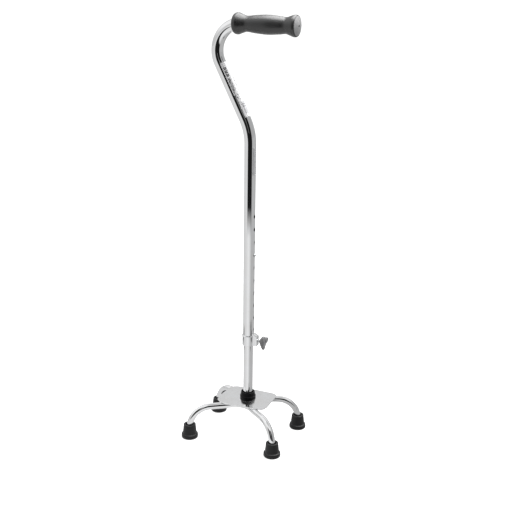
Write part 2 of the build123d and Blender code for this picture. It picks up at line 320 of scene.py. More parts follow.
def upper_label_marks():
    """Three dark blocks with a light bar in each, above three columns of broken bars, and a grey panel."""
    marks = []
    for middle in (121, 114.5, 108):
        marks += [(middle, 2.3, -46, 12, 0.03), (middle, 0.7, -46, 4, 0.75)]
    columns_top, columns_foot, space = 102, 72, 1.1
    for column, angle in enumerate((-56, -47.5, -39)):
        start = columns_top
        for n in range(5):
            length = 3.6 + 1.7 * ((n * 2 + column * 3) % 4)
            if start - length < columns_foot:
                break
            marks.append((start - length / 2, length / 2, angle, 2.6, 0.05))
            start -= length + space
    marks.append((88, 15, 14, 14, 0.42))
    return marks


def middle_label_marks():
    """A grey panel with two darker bars under a pair of small blocks."""
    return [
        (64, 1.2, -44, 5, 0.08),
        (61, 0.9, -22, 5, 0.2),
        (43.5, 11.5, -8, 26, 0.42),
        (50, 0.8, -12, 16, 0.16),
        (46, 0.8, -15, 13, 0.16),
    ]


def lower_label_marks():
    """Ticks like a scale's, with every third one longer."""
    first, pitch = -78, 3.9
    return [(first + n * pitch, 0.55, 0, 7 if n % 3 else 12, 0.2) for n in range(12)]


CHROME_TUBE = chrome("chrome_tube", 0.92, 0.045)
CHROME_PLATE = chrome("chrome_plate", 0.93, 0.15, waviness=0.015)
CHROME_COLLAR = chrome("chrome_collar", 0.92, 0.06, waviness=0.05)
GRIP_RUBBER = rubber("grip_rubber", (0.012, 0.012, 0.0125), (0.018, 0.018, 0.0185), 0.38, specular=0.9)
# A lighter copy of the grip rubber for the end face: painted light, where the end faces the light from the
# right.
GRIP_END_PAINTED_LIGHT = rubber("grip_end_painted_light_rubber", (0.20, 0.20, 0.203), (0.27, 0.27, 0.273), 0.45, specular=0.9)
FOOT_RUBBER = rubber("foot_rubber", (0.006, 0.006, 0.007), (0.010, 0.010, 0.011), 0.36, specular=0.4)
BOOT_RUBBER = rubber("boot_rubber", (0.003, 0.003, 0.0035), (0.005, 0.005, 0.006), 0.34, specular=0.15)
KNOB_PLASTIC = plastic("knob_plastic", (0.21, 0.21, 0.215), (0.26, 0.26, 0.265), 0.42)
NYLON = plastic("nylon", (0.8, 0.79, 0.75), (0.86, 0.85, 0.81), 0.4)
ZINC = steel("zinc_steel", (0.72, 0.73, 0.74), 0.3)
# Bare steel for the tube bores, darkened as painted shade inside the bore.
BARE_STEEL_PAINTED_SHADE = steel("bare_steel_painted_shade", (0.16, 0.16, 0.165), 0.55, stretch=(1, 1, 0.2))
SPRING_STEEL = steel("spring_steel", (0.42, 0.44, 0.48), 0.35, stretch=(1, 1, 0.1))
LABEL_UPPER = vinyl("label_upper_vinyl", (0.8, 0.8, 0.81), True, upper_label_marks())
LABEL_MIDDLE = vinyl("label_middle_vinyl", (0.82, 0.82, 0.83), True, middle_label_marks())
LABEL_LOWER = vinyl("label_lower_vinyl", (0.5, 0.5, 0.51), False, lower_label_marks())

# ------------------------------------------------------------------ mesh helpers


def new_object(name, vertices, faces):
    """A mesh object in the scene."""
    mesh = bpy.data.meshes.new(name)
    mesh.from_pydata([tuple(v) for v in vertices], [], faces)
    obj = bpy.data.objects.new(name, mesh)
    bpy.context.scene.collection.objects.link(obj)
    return obj


def piece(name, vertices, faces, material, body, nodes=(), sharp=35):
    """A mesh object that rides on a body, smooth except across edges sharper than the angle."""
    obj = new_object(name, vertices, faces)
    mesh = obj.data
    mesh.validate()
    mesh.polygons.foreach_set("use_smooth", [True] * len(mesh.polygons))
    fix_normals(obj)
    mesh.set_sharp_from_angle(angle=math.radians(sharp))
    mesh.materials.append(material)
    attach(obj, body)
    if nodes:
        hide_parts(*nodes)
    return obj


def fix_normals(obj):
    """Joins the points that meet, and turns every face outwards."""
    work = bmesh.new()
    work.from_mesh(obj.data)
    bmesh.ops.remove_doubles(work, verts=work.verts, dist=1e-7)
    bmesh.ops.recalc_face_normals(work, faces=work.faces)
    work.to_mesh(obj.data)
    work.free()


def ring_faces(rings, around, closed_ends=False, looped=False):
    """Quads between rings of the same number of points."""
    faces = []
    last = rings if looped else rings - 1
    for i in range(last):
        a, b = i * around, (i + 1) % rings * around
        for j in range(around):
            k = (j + 1) % around
            faces.append((a + j, a + k, b + k, b + j))
    if closed_ends:
        faces.append(tuple(range(around - 1, -1, -1)))
        faces.append(tuple(range((rings - 1) * around, rings * around)))
    return faces


def lathe(outline, steps, place_at):
    """Vertices and faces of a solid of revolution. The outline runs from axis to axis as (r, z), or round
    a ring that stays off the axis."""
    vertices = []
    inner = [p for p in outline if p[0] > 1e-9]
    for r, z in inner:
        for j in range(steps):
            a = TAU * j / steps
            vertices.append(place_at @ Vector((r * math.cos(a), r * math.sin(a), z)))
    looped = len(inner) == len(outline)
    faces = ring_faces(len(inner), steps, looped=looped)
    if not looped:
        for end, first in ((outline[0], 0), (outline[-1], (len(inner) - 1) * steps)):
            vertices.append(place_at @ Vector((0, 0, end[1])))
            tip = len(vertices) - 1
            faces += [(tip, first + j, first + (j + 1) % steps) for j in range(steps)]
    return vertices, faces


def rounded(points, radii, closed=False, turn=math.radians(7)):
    """A 2D outline with its corners rounded: one radius per point, 0 for a sharp one."""
    result = []
    count = len(points)
    for i, (point, radius) in enumerate(zip(points, radii)):
        here = Vector(point)
        end = not closed and i in (0, count - 1)
        if end or radius == 0:
            result.append(here)
            continue
        before, after = Vector(points[i - 1]), Vector(points[(i + 1) % count])
        back, on = (before - here).normalized(), (after - here).normalized()
        half = back.angle(on) / 2
        reach = radius / math.tan(half)
        start, stop = here + back * reach, here + on * reach
        middle = here + (back + on).normalized() * (radius / math.sin(half))
        first, last = start - middle, stop - middle
        sweep = first.angle_signed(last)
        steps = max(2, math.ceil(abs(sweep) / turn))
        for k in range(steps + 1):
            spin = Matrix.Rotation(-sweep * k / steps, 2)
            result.append(middle + spin @ first)
    return [(p.x, p.y) for p in result]


def smooth_curve(points, slopes, steps):
    """A smooth line through (x, y) points, from one slope to another, as a cubic in each stretch."""
    inner = []
    for i in range(1, len(points) - 1):
        (x0, y0), (x2, y2) = points[i - 1], points[i + 1]
        inner.append((y2 - y0) / (x2 - x0))
    gradients = [slopes[0], *inner, slopes[1]]
    line = []
    for i in range(len(points) - 1):
        (x0, y0), (x1, y1) = points[i], points[i + 1]
        width = x1 - x0
        for k in range(steps):
            t = k / steps
            value = (
                (2 * t**3 - 3 * t**2 + 1) * y0
                + (t**3 - 2 * t**2 + t) * width * gradients[i]
                + (3 * t**2 - 2 * t**3) * y1
                + (t**3 - t**2) * width * gradients[i + 1]
            )
            line.append((x0 + width * t, value))
    return [*line, points[-1]]


def bezier(a, b, c, d, steps):
    """A cubic curve from a to d, drawn towards b and c."""
    line = []
    for k in range(steps + 1):
        t = k / steps
        s = 1 - t
        line.append(
            tuple(s**3 * a[n] + 3 * s * s * t * b[n] + 3 * s * t * t * c[n] + t**3 * d[n] for n in (0, 1))
        )
    return line


def bent_path(points, radii, run_step, turn_step=math.radians(2)):
    """Points and directions along straight runs joined by tangent arcs, in 3D."""
    stops = []
    corners = [Vector(p) for p in points]
    start = corners[0]
    for i in range(1, len(corners)):
        corner = corners[i]
        direction = (corner - corners[i - 1]).normalized()
        if i < len(corners) - 1:
            onward = (corners[i + 1] - corner).normalized()
            angle = direction.angle(onward)
            reach = radii[i - 1] * math.tan(angle / 2)
            stop = corner - direction * reach
        else:
            stop = corner
        length = (stop - start).length
        pieces = max(1, round(length / run_step))
        stops += [(start + (stop - start) * (k / pieces), direction) for k in range(pieces)]
        if i == len(corners) - 1:
            stops.append((stop, direction))
            break
        axis = direction.cross(onward).normalized()
        inward = axis.cross(direction)
        middle = stop + inward * radii[i - 1]
        steps = max(2, math.ceil(angle / turn_step))
        for k in range(steps):
            spin = Matrix.Rotation(angle * k / steps, 3, axis)
            stops.append((middle + spin @ (stop - middle), spin @ direction))
        start = corner + onward * reach
    return stops


def pipe(stops, side, section, around):
    """A hollow pipe along a path, with the numbers of its bore's faces. Section gives the outer and inner
    radius. The ends are bevelled a little."""
    outer, inner = section
    lip = min(0.3 * MM, (outer - inner) / 3)
    frames = []
    across = Vector(side)
    for point, direction in stops:
        across = (across - direction * across.dot(direction)).normalized()
        frames.append((point, across.copy(), direction.cross(across)))
    first, last = stops[0][1], stops[-1][1]
    rings = [(frames[0], inner + lip, 0.0), (frames[0], outer - lip, 0.0)]
    rings += [(frames[0], outer, lip)]
    rings += [(f, outer, 0.0) for f in frames[1:-1]]
    rings += [(frames[-1], outer, -lip), (frames[-1], outer - lip, 0.0), (frames[-1], inner + lip, 0.0)]
    rings += [(frames[-1], inner, -lip)]
    rings += [(f, inner, 0.0) for f in reversed(frames[1:-1])]
    rings += [(frames[0], inner, lip)]
    vertices = []
    for (point, across, other), radius, shift in rings:
        along = other.cross(across) * -1
        base = point + along * shift
        for j in range(around):
            a = TAU * j / around
            vertices.append(base + across * (radius * math.cos(a)) + other * (radius * math.sin(a)))
    bore = range((len(frames) + 4) * around, (2 * len(frames) + 3) * around)
    return vertices, ring_faces(len(rings), around, looped=True), bore


def line_bore(obj, bore):
    """The inside of a tube is bare steel, because the plate doesn't reach it, in a tone dark enough to
    paint in the shade inside the bore.
    """
    obj.data.materials.append(BARE_STEEL_PAINTED_SHADE)
    for index in bore:
        obj.data.polygons[index].material_index = 1


def cut(obj, vertices, faces, operation="DIFFERENCE"):
    """Cuts a shape out of a piece, or joins it on, once and for all."""
    cutter = new_object("cutter", vertices, faces)
    mesh = cutter.data
    fix_normals(cutter)
    modifier = obj.modifiers.new("cut", "BOOLEAN")
    modifier.operation = operation
    modifier.solver = "EXACT"
    modifier.object = cutter
    apply_modifier(obj)
    bpy.data.objects.remove(cutter)
    bpy.data.meshes.remove(mesh)


def soften(obj, width, segments=4, angle=math.radians(30)):
    """Rounds a piece's edges, once and for all."""
    modifier = obj.modifiers.new("soften", "BEVEL")
    modifier.width = width
    modifier.segments = segments
    modifier.limit_method = "ANGLE"
    modifier.angle_limit = angle
    apply_modifier(obj)


def apply_modifier(obj):
    """Puts what a modifier makes into the mesh itself."""
    bpy.context.view_layer.update()
    graph = bpy.context.evaluated_depsgraph_get()
    result = bpy.data.meshes.new_from_object(obj.evaluated_get(graph))
    obj.modifiers.clear()
    obj.data = result


def straighten_normals(obj, outer, inner, low, high):
    """Gives a drilled upright tube the normals of a true cylinder between two heights."""
    mesh = obj.data
    mesh.set_sharp_from_angle(angle=math.radians(35))
    close, along = 0.05 * MM, 0.9
    normals = [Vector(n.vector) for n in mesh.corner_normals]
    for polygon in mesh.polygons:
        for loop in polygon.loop_indices:
            spot = mesh.vertices[mesh.loops[loop].vertex_index].co
            if not low < spot.z < high:
                continue
            out = Vector((spot.x - SHAFT_X, spot.y - SHAFT_Y, 0))
            facing = polygon.normal.dot(out.normalized())
            if abs(out.length - outer) < close and facing > along:
                normals[loop] = out.normalized()
            elif abs(out.length - inner) < close and facing < -along:
                normals[loop] = -out.normalized()
    mesh.normals_split_custom_set(normals)


def upright(x=SHAFT_X, y=SHAFT_Y, z=0.0):
    """Keeps a lathe's Z axis upright."""
    return Matrix.Translation((x, y, z))


def along_x(z, x=SHAFT_X, y=SHAFT_Y):
    """Turns a lathe's Z axis to +X."""
    return Matrix.Translation((x, y, z)) @ Matrix.Rotation(math.pi / 2, 4, "Y")


def drill(radius, end, z):
    """A cutter along X at a height, from the shaft's axis out through one wall of its tube."""
    return lathe([(0, 0), (radius, 0), (radius, end), (0, end)], 40, along_x(z))


def drill_through(radius, tube_r, z):
    """A cutter along X at a height, through both walls of a tube, with a small countersink in each."""
    flare, past = 0.35 * MM, 0.02 * MM
    wide = radius + flare
    end = tube_r + 1 * MM
    half = [(radius, tube_r - flare), (wide, tube_r + past), (wide, end), (0, end)]
    outline = [(r, -x) for r, x in reversed(half)] + half
    return lathe(outline, 40, along_x(z))


# ------------------------------------------------------------------ shaft


def neck_points():
    """Where the upper tube's straight runs start, meet and end."""
    rise = HANDLE_Z - NECK_FOOT_Z
    back = SHAFT_X - rise * math.tan(NECK_LEAN)
    return [
        (SHAFT_X, SHAFT_Y, UPPER_BOTTOM),
        (SHAFT_X, SHAFT_Y, NECK_FOOT_Z),
        (back, SHAFT_Y, HANDLE_Z),
        (HANDLE_END_X, SHAFT_Y, HANDLE_Z),
    ]


def make_upper_tube():
    stops = bent_path(neck_points(), [NECK_LOWER_R, NECK_UPPER_R], 4 * MM)
    vertices, faces, bore = pipe(stops, (0, 1, 0), (UPPER_R, UPPER_R - TUBE_WALL), 96)
    tube = piece(
        "upper_tube_skin", vertices, faces, CHROME_TUBE, "upper", ["upper_tube"]
    )
    line_bore(tube, bore)
    for n in range(-HOLES_BELOW_BUTTON, HOLES_ABOVE_BUTTON + 1):
        cut(tube, *drill_through(HOLE_R, UPPER_R, BUTTON_Z + n * HOLE_PITCH))
    cut(tube, *drill(SCREW_HOLE_R, UPPER_R + 1 * MM, SCREW_Z))
    straighten_normals(tube, UPPER_R, UPPER_R - TUBE_WALL, UPPER_BOTTOM + 1 * MM, DRILLED_TOP)


def make_lower_tube():
    bottom, top = LOWER_Z
    stops = bent_path([(SHAFT_X, SHAFT_Y, bottom), (SHAFT_X, SHAFT_Y, top)], [], 4 * MM)
    vertices, faces, bore = pipe(stops, (0, 1, 0), (LOWER_R, LOWER_R - TUBE_WALL), 96)
    tube = piece(
        "lower_tube_skin", vertices, faces, CHROME_TUBE, "base", ["lower_tube"]
    )
    line_bore(tube, bore)
    cut(tube, *drill(BUTTON_HOLE_R, LOWER_R + 1 * MM, BUTTON_Z))
    straighten_normals(tube, LOWER_R, LOWER_R - TUBE_WALL, bottom + 1 * MM, top - 1 * MM)


def leg_stops(row):
    """The middle line of a leg tube."""
    foot = centre(f"foot_front_{row}")
    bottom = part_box(f"foot_washer_front_{row}")[1][2]
    bends = LEG_BENDS[row]
    points = [
        (-foot.x, foot.y, bottom),
        (-foot.x, foot.y, LEG_Z),
        (0, bends["corner_y"], LEG_Z),
        (foot.x, foot.y, LEG_Z),
        (foot.x, foot.y, bottom),
    ]
    return bent_path(points, [LEG_SHOULDER_R, bends["middle_r"], LEG_SHOULDER_R], 3 * MM)


def make_leg_tube(row):
    vertices, faces, bore = pipe(leg_stops(row), (1, 0, 0), (LEG_R, LEG_R - TUBE_WALL), 64)
    tube = piece(
        f"leg_tube_{row}_skin", vertices, faces, CHROME_TUBE, "base", [f"leg_tube_{row}"]
    )
    line_bore(tube, bore)


def make_welds(row):
    """Four weld beads that hold a leg tube under the plate, in the corners between tube and plate."""
    bead_r, sink, from_x, to_x = 1.5 * MM, 1.2 * MM, 7 * MM, 24 * MM
    off = math.sqrt(LEG_R**2 - (LEG_R - sink) ** 2) + 0.6 * MM
    around, rings = 14, 72
    ripples, ripple_share = 11, 0.09
    vertices, faces = [], []
    for end in (-1, 1):
        stops = [s for s in leg_stops(row) if from_x < end * s[0].x < to_x and s[0].z > LEG_Z - 1 * MM]
        first, last = stops[0][0], stops[-1][0]
        out = (last - first).normalized().cross(Vector((0, 0, 1)))
        for side in (-1, 1):
            start = len(vertices)
            for i in range(rings):
                t = i / (rings - 1)
                spot = first.lerp(last, t) + out * (side * off) + Vector((0, 0, LEG_R - sink))
                ends = math.sqrt(max(0.02, 1 - abs(2 * t - 1) ** 6))
                ripple = 1 + ripple_share * abs(math.sin(t * math.pi * ripples))
                r = bead_r * ends * ripple
                for j in range(around):
                    a = TAU * j / around
                    vertices.append(spot + out * (r * math.cos(a)) + Vector((0, 0, r * math.sin(a))))
            faces += [tuple(v + start for v in f) for f in ring_faces(rings, around, closed_ends=True)]
    piece(f"leg_weld_{row}", vertices, faces, CHROME_PLATE, "base", sharp=60)


def make_spring():
    """The V spring strip behind the snap button. The real strip closes up as the button goes in; this one
    keeps one shape.
    """
    low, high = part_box("snap_spring")
    thick = 0.6
    leg = high[0] / MM - thick / 2
    top = (high[2] - BUTTON_Z) / MM
    bend, tip = -8, -46  # below the button: where the sides turn in, and where they would meet
    line = rounded([(leg, top), (leg, bend), (0, tip), (-leg, bend), (-leg, top)], [0, 20, 3.5, 20, 0])
    line = [Vector(p) for p in line]
    vertices = []
    for i, point in enumerate(line):
        run = (line[min(i + 1, len(line) - 1)] - line[max(i - 1, 0)]).normalized()
        out = Vector((-run.y, run.x)) * thick / 2
        outer, inner = point + out, point - out
        for x_z, y in ((outer, low[1]), (outer, high[1]), (inner, high[1]), (inner, low[1])):
            vertices.append(Vector((x_z.x * MM, y, BUTTON_Z + x_z.y * MM)))
    faces = ring_faces(len(line), 4, closed_ends=True)
    spring = piece("spring_strip", vertices, faces, SPRING_STEEL, "base", ["snap_spring"])
    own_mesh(spring)


# ------------------------------------------------------------------ rubber


def make_grip():
    """The moulded grip: a flange at each end, a swell for the palm and a domed end with a vent hole."""
    low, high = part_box("handle_grip")
    axis_z = (low[2] + high[2]) / 2
    flange = (high[2] - low[2]) / 2 / MM
    dome, face_r = 2.6, 17.4
    vent, vent_lip, vent_painted_shade, vent_depth = 1.3, 0.4, 2.4, 9.0
    front = high[0] - dome * MM
    back_x, front_x = low[0] / MM, front / MM
    outline = bezier((back_x, 11.6), (back_x, 16.5), (-30.8, flange), (-25.4, flange), 10)
    middle = [
        (-25.4, flange),
        (-17.0, 16.6),
        (-7.8, 14.1),
        (8.0, 15.9),
        (33.0, 17.4),
        (56.0, 15.8),
        (67.5, 14.6),
        (76.0, 17.2),
        (84.0, flange),
    ]
    outline += smooth_curve(middle, (0, 0), 10)[1:]
    outline += bezier((84.0, flange), (86.8, flange), (front_x, 18.6), (front_x, face_r), 8)[1:]
    for k in range(1, 25):
        r = face_r + (vent + vent_lip - face_r) * k / 24
        outline.append((front_x + dome * (1 - (r / face_r) ** 2), r))
    deep = front_x - vent_depth
    outline += [(front_x + dome - 0.35, vent), (deep, vent), (deep, 0)]
    outline = [(back_x, 0), *outline]
    vertices, faces = lathe([(r * MM, x * MM) for x, r in outline], 128, along_x(axis_z, 0))
    grip = piece(
        "grip_skin", vertices, faces, GRIP_RUBBER, "upper", ["handle_grip"], sharp=40
    )
    # The end face takes the lighter rubber, as painted light from the right.
    grip.data.materials.append(GRIP_END_PAINTED_LIGHT)
    for polygon in grip.data.polygons:
        on_the_end = polygon.center.x > front + 0.02 * MM and polygon.normal.x > 0.5
        off_axis = math.hypot(polygon.center.y - SHAFT_Y, polygon.center.z - axis_z)
        # A ring round the vent keeps the dark rubber, as painted shade at the recess.
        if on_the_end and off_axis > vent_painted_shade * MM:
            polygon.material_index = 1


def foot_outline(base_r, height, seat):
    """The foot's half section, from the middle of its tread round to the seat of the washer."""
    leg_r = LEG_R / MM
    tread = [(0, 1.0), (4.0, 1.0), (4.0, 0), (7.5, 0), (7.5, 1.0), (10.0, 1.0), (10.0, 0)]
    tread_radii = [0] + [0.3] * 6
    side = [(base_r - 0.2, 0), (base_r, 4.4), (base_r - 0.5, 8.5), (13.8, 9.3)]
    side_radii = [2.8, 3.0, 1.4, 0.9]
    mouth = [(11.8, height), (8.2, height), (leg_r + 0.5, height - 6), (leg_r, height - 7)]
    mouth_radii = [0.8, 0.7, 0.8, 0.4]
    end = [(leg_r, seat), (0, seat)]
    points = tread + side + mouth + end
    radii = tread_radii + side_radii + mouth_radii + [0, 0]
    return [(r * MM, z * MM) for r, z in rounded(points, radii)]


def make_feet():
    for row in ("outer", "inner"):
        for end in ("front", "rear"):
            node = f"foot_{end}_{row}"
            spot = centre(node)
            size = half_size(node)
            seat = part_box(f"foot_washer_{end}_{row}")[0][2]
            outline = foot_outline(size.x / MM, size.z * 2 / MM, seat / MM)
            vertices, faces = lathe(outline, 96, upright(spot.x, spot.y))
            piece(f"{node}_skin", vertices, faces, FOOT_RUBBER, "base", [node])


def make_boot():
    """The boot at the foot of the shaft: a low flange under a cone."""
    low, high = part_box("shaft_boot")
    base_r = (high[0] - low[0]) / 2 / MM
    bottom, top = low[2] / MM, high[2] / MM
    tube_r = LOWER_R / MM
    points = [
        (tube_r, bottom),
        (base_r - 0.2, bottom),
        (base_r, bottom + 3.9),
        (base_r - 1.0, bottom + 5.0),
        (13.4, top),
        (11.5, top),
        (tube_r + 0.5, top - 6.0),
        (tube_r, top - 7.0),
    ]
    outline = rounded(points, [0, 0.8, 0.9, 0.7, 0.7, 0.6, 0.4, 0])
    vertices, faces = lathe([(r * MM, z * MM) for r, z in outline], 96, upright())
    piece("shaft_boot_skin", vertices, faces, BOOT_RUBBER, "base", ["shaft_boot"])


# ------------------------------------------------------------------ clamp


def make_collar():
    """The pressed collar: a band with a rolled rim, and the lug that holds the nut."""
    low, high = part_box("collar")
    nut_low, nut_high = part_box("clamp_nut")
    lip = 0.6  # how thick the lip under the tube's end is, and how far the rim in the CAD stands out
    rim_r = (high[1] - low[1]) / 2 / MM + 0.25
    band_r = (high[1] - low[1]) / 2 / MM - lip
    bottom = low[2] / MM
    rim = UPPER_BOTTOM / MM + 16.4
    inside, mouth = UPPER_R / MM, LOWER_R / MM + 0.5
    points = [
        (inside, bottom + lip),
        (mouth, bottom + lip),
        (mouth, bottom),
        (band_r, bottom),
        (band_r, rim - 2.6),
        (rim_r, rim - 2.2),
        (rim_r, rim),
        (inside, rim),
    ]
    outline = rounded(points, [0, 0, 0.1, 0.7, 0.3, 0.9, 0.9, 0.1], closed=True)
    vertices, faces = lathe([(r * MM, z * MM) for r, z in outline], 128, upright())
    band = piece("collar_skin", vertices, faces, CHROME_COLLAR, "upper", ["collar"])
    cut(band, *lug_shape(bottom, rim, high[0] / MM, high[2] / MM), operation="UNION")
    reach, tall = UPPER_R + 0.02 * MM, 40 * MM
    room = [(0, 0), (reach, 0), (reach, tall), (0, tall)]
    cut(band, *lathe(room, 128, upright(z=(bottom + 0.7) * MM)))
    cut(band, *drill(SCREW_HOLE_R, high[0] + 2 * MM, SCREW_Z))
    cut(band, *prism_x(nut_low[0], nut_high[0], (nut_high[1] - nut_low[1]) / 2))
    band.data.set_sharp_from_angle(angle=math.radians(32))


def lug_shape(bottom, rim, front, top):
    """The lug's vertices and faces, with its outer edges rounded."""
    root, shoulder = 3.0, 12.6
    side = [(root, bottom + 0.6), (front, bottom + 0.8), (front, rim + 0.2), (shoulder, top), (root, top)]
    outline = rounded(side, [0, 1.6, 1.8, 1.4, 0], closed=True)
    half = half_size("clamp_nut").y / MM + 1.3
    vertices = []
    for y in (-half, half):
        vertices += [Vector((x * MM, SHAFT_Y + y * MM, z * MM)) for x, z in outline]
    lug = new_object("lug", vertices, ring_faces(2, len(outline), closed_ends=True))
    fix_normals(lug)
    soften(lug, 0.9 * MM, angle=math.radians(50))
    shape = [v.co.copy() for v in lug.data.vertices], [tuple(p.vertices) for p in lug.data.polygons]
    bpy.data.objects.remove(lug)
    return shape


def prism_x(start, end, apothem):
    """A hexagonal prism along X at the screw, with flats to each side."""
    corner = apothem / math.cos(math.pi / 6)
    vertices = []
    for x in (start, end):
        for n in range(6):
            a = TAU * n / 6
            vertices.append(Vector((x, SHAFT_Y + corner * math.sin(a), SCREW_Z + corner * math.cos(a))))
    return vertices, ring_faces(2, 6, closed_ends=True)


def soft_least(a, b, blend):
    """The lesser of two reaches, rounded where they cross."""
    return (a + b - math.hypot(a - b, blend)) / 2


def soft_most(a, b, blend):
    """The greater of two reaches, rounded where they cross."""
    return (a + b + math.hypot(a - b, blend)) / 2


def knob_outline(angle, tip):
    """How far the knob reaches at an angle: three round lobes on a hub."""
    lobe, hub = 5.2, 9.2
    reach = tip - lobe
    off = abs((angle - KNOB_TURN + math.pi / 3) % (TAU / 3) - math.pi / 3)
    if math.tan(off) < lobe / reach:
        span = reach * math.cos(off) + math.sqrt(lobe**2 - (reach * math.sin(off)) ** 2)
    else:
        span = lobe / math.sin(off)
    return soft_most(span, hub, 1.4)


def knob_back_rings(depth, tip):
    """How deep each ring of the knob's back lies and how far it may reach, from the hub out to the rim."""
    start, hub = 0.6, 5.0
    rings = [(0.0, 4.2), (0.15, 4.7), (start, hub)]
    for k in range(1, 25):
        t = k / 24
        rings.append((start + (depth * 0.74 - start) * t, hub + (tip - 4.6) * t))
    rings.append((depth * 0.82, tip + 3.0))
    return rings


def make_knob():
    """The three-lobed knob: a back that widens from the hub, a rolled rim and a face with a recess."""
    low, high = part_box("thumb_knob")
    depth = (high[0] - low[0]) / MM
    tip = KNOB_TIP_R / MM
    around = 180
    angles = [TAU * j / around for j in range(around)]
    vertices = []

    def add_ring(x, reaches):
        for angle, reach in zip(angles, reaches):
            y, z = reach * MM * math.cos(angle), reach * MM * math.sin(angle)
            vertices.append(Vector((low[0] + x * MM, SHAFT_Y + y, SCREW_Z + z)))

    full = [knob_outline(a, tip) for a in angles]
    for x, limit in knob_back_rings(depth, tip):
        rim = [soft_least(reach, limit, 0.9) for reach in full]
        add_ring(x, rim)
    roll = 1.5
    for k in range(1, 9):
        a = math.pi / 2 * k / 8
        inset = roll * (1 - math.cos(a))
        add_ring(depth * 0.82 + (depth * 0.16) * math.sin(a), [reach - inset for reach in rim])
    for share in (0.85, 0.7, 0.55, 0.42):
        add_ring(depth * (0.98 + 0.02 * (1 - share)), [(reach - roll) * share for reach in rim])
    for reach, x in ((3.4, depth), (3.1, depth - 0.15), (2.9, depth - 0.7), (1.5, depth - 0.9)):
        add_ring(x, [reach] * around)
    faces = ring_faces(len(vertices) // around, around, closed_ends=True)
    piece("knob_skin", vertices, faces, KNOB_PLASTIC, "knob", ["thumb_knob"], sharp=50)


# ------------------------------------------------------------------ floor, light and camera

CAMERA_AT = Vector((0.7358, -1.5934, 0.9317))
CAMERA_LOOK = Vector((-0.3897, 0.8692, -0.3047))
CAMERA_ROLL = 0.0118
CAMERA_LENS = 68.49


def make_camera():
    data = bpy.data.cameras.new("camera")
    data.sensor_width = 36
    data.lens = CAMERA_LENS
    camera = bpy.data.objects.new("camera", data)
    bpy.context.scene.collection.objects.link(camera)
    camera.location = CAMERA_AT
    camera.rotation_mode = "QUATERNION"
    look = CAMERA_LOOK.normalized()
    facing = look.to_track_quat("-Z", "Y").to_matrix()
    right, up = facing.col[0], facing.col[1]
    c, s = math.cos(CAMERA_ROLL), math.sin(CAMERA_ROLL)
    turned = Matrix((right * c + up * s, up * c - right * s, -look)).transposed()
    camera.rotation_quaternion = turned.to_quaternion()
    bpy.context.scene.camera = camera


def card(name, corners, material, camera=True, glossy=True, diffuse=True):
    """A flat stage card, given its corners. It is not part of the object."""
    obj = new_object(name, corners, [tuple(range(len(corners)))])
    obj.data.materials.append(material)
    obj.visible_camera = camera
    obj.visible_glossy = glossy
    obj.visible_transmission = False
    obj.visible_diffuse = diffuse
    obj.visible_shadow = False


def around_stage(azimuth, distance, height):
    """A point round the object. Azimuth 0 is towards the camera and 90 is to its right."""
    side = math.atan2(CAMERA_AT.x, -CAMERA_AT.y) + math.radians(azimuth)
    return Vector((math.sin(side) * distance, -math.cos(side) * distance, height))


# How bright the studio is all round, as (azimuth in degrees, brightness). The camera stands at 0.
WALL_LIGHT = [(-180, 0.64), (-130, 0.58), (-80, 0.61), (-10, 0.59), (40, 0.43), (110, 0.42), (180, 0.64)]
PAPER_LIGHT = [
    (-180, 0.98), (-152, 0.68), (-90, 0.69), (-55, 0.74), (-15, 0.86), (5, 0.80), (40, 0.48), (90, 0.48),
    (125, 0.50), (138, 0.30), (150, 0.32), (165, 0.85), (180, 0.98),
]
GAP_MIDDLE = -4  # the dark gap where the camera and the photographer stand
GAP_HALF_WIDTH = 43
GAP_TOP = 48
DARKEST = 0.985  # the share of the light that the gap and the black cards take away
LAMP_AT = -4  # a dim strip lamp that stands in the gap, brighter towards its top
LAMP_HALF_WIDTH = 4.5
LAMP_TONES = (0.14, 0.62)
CEILING_LIGHT = 0.36  # how much brighter the ceiling is than the walls
LEFT_BOX_AT = -105  # a tall soft box to the left, as bright as the ceiling
LEFT_BOX_HALF_WIDTH = 50
# Black cards on the floor, as (azimuth, half width, near, far), in degrees and metres.
FLAGS = [(-104, 11, 0.40, 0.58), (52, 9, 0.40, 0.62)]
PAPER_EDGE = (1.36, 1.74)  # the white paper fades out here, in front of the object


def ring_angle(tree, right, ahead):
    """Azimuth in degrees from the camera."""
    return math_node(tree, "DIVIDE", math_node(tree, "ARCTAN2", right, ahead), math.radians(1))


def ring_light(tree, ahead, right, stops):
    """Brightness round the stage, and 1 inside the dark gap, where the camera stands, else 0."""
    azimuth = math_node(tree, "ARCTAN2", right, ahead)
    turn = math_node(tree, "ADD", math_node(tree, "DIVIDE", azimuth, TAU), 0.5)
    ramp = tree.nodes.new("ShaderNodeValToRGB")
    while len(ramp.color_ramp.elements) < len(stops):
        ramp.color_ramp.elements.new(0.5)
    for element, (degrees, tone) in zip(ramp.color_ramp.elements, stops):
        element.position = degrees / 360 + 0.5
        element.color = (tone, tone, tone, 1)
    tree.links.new(turn, ramp.inputs["Fac"])
    off = math_node(tree, "ABSOLUTE", math_node(tree, "SUBTRACT", azimuth, math.radians(GAP_MIDDLE)))
    room = math_node(tree, "SUBTRACT", math.radians(GAP_HALF_WIDTH), off)
    gap = math_node(tree, "DIVIDE", room, math.radians(2.5), clamp=True)
    return ramp.outputs["Color"], gap


def stage_axes(tree, where):
    """How far a point is towards the camera and to its right, and its height."""
    split = tree.nodes.new("ShaderNodeSeparateXYZ")
    tree.links.new(where, split.inputs[0])
    x, y, z = split.outputs
    sides = []
    for axis in (around_stage(0, 1, 0), around_stage(90, 1, 0)):
        from_x = math_node(tree, "MULTIPLY", x, axis.x)
        from_y = math_node(tree, "MULTIPLY", y, axis.y)
        sides.append(math_node(tree, "ADD", from_x, from_y))
    return sides[0], sides[1], z


